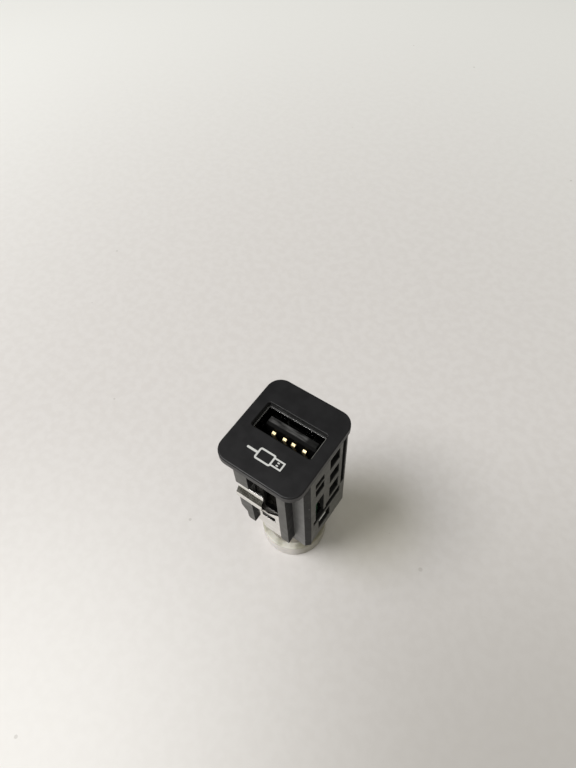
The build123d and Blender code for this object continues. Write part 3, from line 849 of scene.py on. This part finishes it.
def make_joint(name, facing):
    """A cone with hollow sides that stands on the board and points along Y."""
    points = []
    for ring in range(JOINT_RINGS):
        share = ring / (JOINT_RINGS - 1)
        radius = JOINT_TOP + (JOINT_RADIUS - JOINT_TOP) * (1 - share) ** JOINT_HOLLOW
        for step in range(JOINT_STEPS):
            angle = 2 * math.pi * step / JOINT_STEPS
            across, up = radius * math.cos(angle), radius * math.sin(angle)
            points.append((across, facing * share * JOINT_HEIGHT, up))
    faces = []
    for ring in range(JOINT_RINGS - 1):
        for step in range(JOINT_STEPS):
            here = ring * JOINT_STEPS
            after = (step + 1) % JOINT_STEPS
            faces.append((here + step, here + after, here + JOINT_STEPS + after, here + JOINT_STEPS + step))
    faces.append(tuple(range(JOINT_STEPS - 1, -1, -1)))
    faces.append(tuple(range((JOINT_RINGS - 1) * JOINT_STEPS, JOINT_RINGS * JOINT_STEPS)))
    if facing > 0:
        faces = [tuple(reversed(face)) for face in faces]
    mesh = bpy.data.meshes.new(name)
    mesh.from_pydata(points, [], faces)
    mesh.shade_smooth()
    return bpy.data.objects.new(name, mesh)


NO_LINES = (900.0, 900.0, 900.0)
SOLDER = make_metal(
    "solder", (0.55, 0.55, 0.56, 1), (0.74, 0.74, 0.76, 1), NO_LINES, 1500.0, (0.22, 0.36), 0.25, 0.0
)
print("joint height in mm:", JOINT_HEIGHT / MM)

# %% Solder on the contacts and the pins
board_low, board_high = (Vector(corner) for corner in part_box("circuit_board"))
BITE = 0.05 * MM
TAIL_RISE = 0.8 * MM
PIN_DROP = 0.7 * MM


def middle_of(node):
    low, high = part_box(node)
    return (Vector(low) + Vector(high)) / 2


back_places = []
for number in range(1, 5):
    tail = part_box(f"contact_{number}")[0][2] + TAIL_RISE
    back_places.append((middle_of(f"contact_{number}").x, board_high.y - BITE, tail))
front_places = []
for number in range(1, 5):
    pin = middle_of(f"rear_pin_{number}")
    end_of_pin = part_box(f"rear_pin_{number}")[1][2] - PIN_DROP
    if pin.y > middle_of("circuit_board").y:
        back_places.append((pin.x, board_high.y - BITE, end_of_pin))
    else:
        front_places.append((pin.x, board_low.y + BITE, end_of_pin))

back_joint = make_joint("back_joint", 1)
front_joint = make_joint("front_joint", -1)
solder_back = set_at_points("solder_back", back_places, back_joint, 1.0, 0.12, 3, SOLDER)
solder_front = set_at_points("solder_front", front_places, front_joint, 1.0, 0.12, 5, SOLDER)
for piece in (solder_back, solder_front):
    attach(piece, "module")
print("solder joints:", len(back_places), "behind,", len(front_places), "in front")

# %% [markdown]
# ## Chip ends
# A surface-mount chip ends in two tinned caps that wrap its body. Each cap is a thin box a little larger
# than the chip, made from the chip's own corners, so that it follows the CAD if the chip moves.

# %% Tinned caps on the small chips
CAP_PROUD = 0.02 * MM
CAP_SHARE = 0.22


def box_faces(low, high, first):
    """Corners and outward faces of a box, with face numbers that start at first."""
    corners = [(x, y, z) for z in (low[2], high[2]) for y in (low[1], high[1]) for x in (low[0], high[0])]
    sides = [(0, 2, 3, 1), (4, 5, 7, 6), (0, 1, 5, 4), (2, 6, 7, 3), (0, 4, 6, 2), (1, 3, 7, 5)]
    return corners, [tuple(first + corner for corner in side) for side in sides]


def make_caps(names):
    points, faces = [], []
    for name in names:
        low, high = (Vector(corner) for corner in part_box(name))
        depth = (high.x - low.x) * CAP_SHARE
        for inner, outer in ((low.x + depth, low.x), (high.x - depth, high.x)):
            left, right = sorted((inner, outer + math.copysign(CAP_PROUD, outer - inner)))
            corners, sides = box_faces(
                (left, low.y - CAP_PROUD, low.z - CAP_PROUD),
                (right, high.y, high.z + CAP_PROUD),
                len(points),
            )
            points += corners
            faces += sides
    mesh = bpy.data.meshes.new("chip_caps")
    mesh.from_pydata(points, [], faces)
    piece = bpy.data.objects.new("chip_caps", mesh)
    bpy.context.scene.collection.objects.link(piece)
    piece.data.materials.append(SOLDER)
    return piece


CAPPED = ["filter_capacitor_1", "filter_capacitor_2", "ferrite_bead", "resettable_fuse", "surge_protector"]
chip_caps = make_caps(CAPPED)
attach(chip_caps, "module")
print("caps:", 2 * len(CAPPED))

# %% [markdown]
# ## Table
# The object stands on a pale, slightly dirty table. Its surface has a faint mottle, tiny specks and a few
# crumbs. A real room never lights a table evenly, and a broad change of tone over the table paints that
# light and shade: two soft round areas, one dimmer and one brighter, and a lift with distance. A third,
# small area beside the object carries painted shade in a warm yellow, for light bounced from the cream
# part into the shadow.

# %% Table
TABLE_RADIUS = 0.9
TABLE_STEPS = 96


def round_area(tree, place, middle, inner, outer):
    """Mask that is 1 inside the inner radius and falls to 0 at the outer one, all in millimetres."""
    centre = (middle[0] * MM, middle[1] * MM, 0)
    offset = add_node(tree, "ShaderNodeVectorMath", {"operation": "DISTANCE"}, at_0=place, at_1=centre)
    return ramp(tree, offset.outputs["Value"], inner * MM, outer * MM, 1.0, 0.0)


def make_table_finish():
    material, tree, shader, place = start_material("table_finish", (0.66, 0.64, 0.62, 1), 0.5)
    shader.inputs["Specular IOR Level"].default_value = 0.2
    mottle = add_node(tree, "ShaderNodeTexNoise", Vector=place, Scale=420.0, Detail=5.0)
    tone = blend_colour(
        tree, ramp(tree, mottle.outputs[0], 0.35, 0.65), (0.655, 0.635, 0.625, 1), (0.683, 0.665, 0.657, 1)
    )
    dim = round_area(tree, place, (85, -32), 15, 110)
    near_lamp = round_area(tree, place, (-25, -85), 10, 100)
    far = invert(tree, round_area(tree, place, (0, 0), 60, 300))
    warm_shade = round_area(tree, place, (14, 12), 2, 20)
    specks = use_group(tree, DUST, Vector=place, Scale=95.0, Share=0.16, Size=0.05)
    crumbs = use_group(tree, DUST, Vector=place, Scale=38.0, Share=0.05, Size=0.035)
    tone = lay_over(tree, tone, [
        # Painted shade and painted light: the dim area, the bright area near the lamp, and the lift far
        # off.
        (product(tree, dim, 0.75), (0.42, 0.405, 0.385, 1)),
        (product(tree, near_lamp, 0.6), (0.90, 0.895, 0.88, 1)),
        (product(tree, far, 0.9), (0.93, 0.94, 0.93, 1)),
        # Painted shade, warm: light bounced from the cream part into the shadow.
        (product(tree, warm_shade, 0.5), (0.60, 0.57, 0.48, 1)),
        (product(tree, specks.outputs["Mask"], 0.3), (0.30, 0.28, 0.25, 1)),
        (product(tree, crumbs.outputs["Mask"], 0.6), (0.20, 0.18, 0.16, 1)),
    ])
    tree.links.new(tone, shader.inputs["Base Color"])
    return material


def make_table():
    rim = []
    for step in range(TABLE_STEPS):
        angle = 2 * math.pi * step / TABLE_STEPS
        rim.append((TABLE_RADIUS * math.cos(angle), TABLE_RADIUS * math.sin(angle), 0.0))
    mesh = bpy.data.meshes.new("table")
    mesh.from_pydata(rim, [], [tuple(range(TABLE_STEPS))])
    piece = bpy.data.objects.new("table", mesh)
    bpy.context.scene.collection.objects.link(piece)
    piece.data.materials.append(make_table_finish())
    return piece


table = make_table()
print("table radius in m:", TABLE_RADIUS)

# %% [markdown]
# ## Light
# One wide lamp stands to the front left, high up, like a window. It is large against the object, so the
# shadow is soft. It also reaches a little way into the port and lights the contacts. The world fills in
# from all round. It is nearly dark at the height of the table and brighter overhead, as a room is, and
# that gives the bright metal something dark to mirror. The ceiling has one dark corner, at the back, and
# the black face mirrors it.

# %% Lamp
OBJECT_MIDDLE = Vector((0.0, 0.0, 0.02))
LAMP_DIRECTION = Vector((-0.34, -0.36, 0.87)).normalized()
LAMP_DISTANCE = 0.8
LAMP_SIZE = 0.42
LAMP_POWER = 5.0

lamp_data = bpy.data.lights.new("window", "AREA")
lamp_data.shape = "DISK"
lamp_data.size = LAMP_SIZE
lamp_data.energy = LAMP_POWER
lamp_data.color = (1.0, 0.985, 0.98)
lamp = bpy.data.objects.new("window", lamp_data)
lamp.location = OBJECT_MIDDLE + LAMP_DISTANCE * LAMP_DIRECTION
lamp.rotation_mode = "QUATERNION"
lamp.rotation_quaternion = (-LAMP_DIRECTION).to_track_quat("-Z", "Y")
bpy.context.scene.collection.objects.link(lamp)
print("lamp distance in m:", LAMP_DISTANCE)

# %% World
WORLD_LOW = (0.075, 0.072, 0.060, 1)
WORLD_HIGH = (0.58, 0.57, 0.52, 1)
DARK_CORNER = Vector((-0.35, 0.44, 0.83)).normalized()


def make_world():
    world = bpy.data.worlds.new("room")
    world.use_nodes = True
    tree = world.node_tree
    direction = tree.nodes.new("ShaderNodeTexCoord").outputs["Generated"]
    room = blend_colour(tree, ramp(tree, axis_of(tree, direction, "Z"), 0.1, 0.75), WORLD_LOW, WORLD_HIGH)
    towards = add_node(
        tree, "ShaderNodeVectorMath", {"operation": "DOT_PRODUCT"}, at_0=direction, at_1=DARK_CORNER
    )
    room = blend_colour(tree, ramp(tree, towards.outputs["Value"], 0.80, 0.94, 0.0, 0.6), room, WORLD_LOW)
    background = tree.nodes["Background"]
    tree.links.new(room, background.inputs["Color"])
    background.inputs["Strength"].default_value = 1.0
    return world


bpy.context.scene.world = make_world()
bpy.context.scene.view_settings.view_transform = "Standard"
print("world:", bpy.context.scene.world.name)
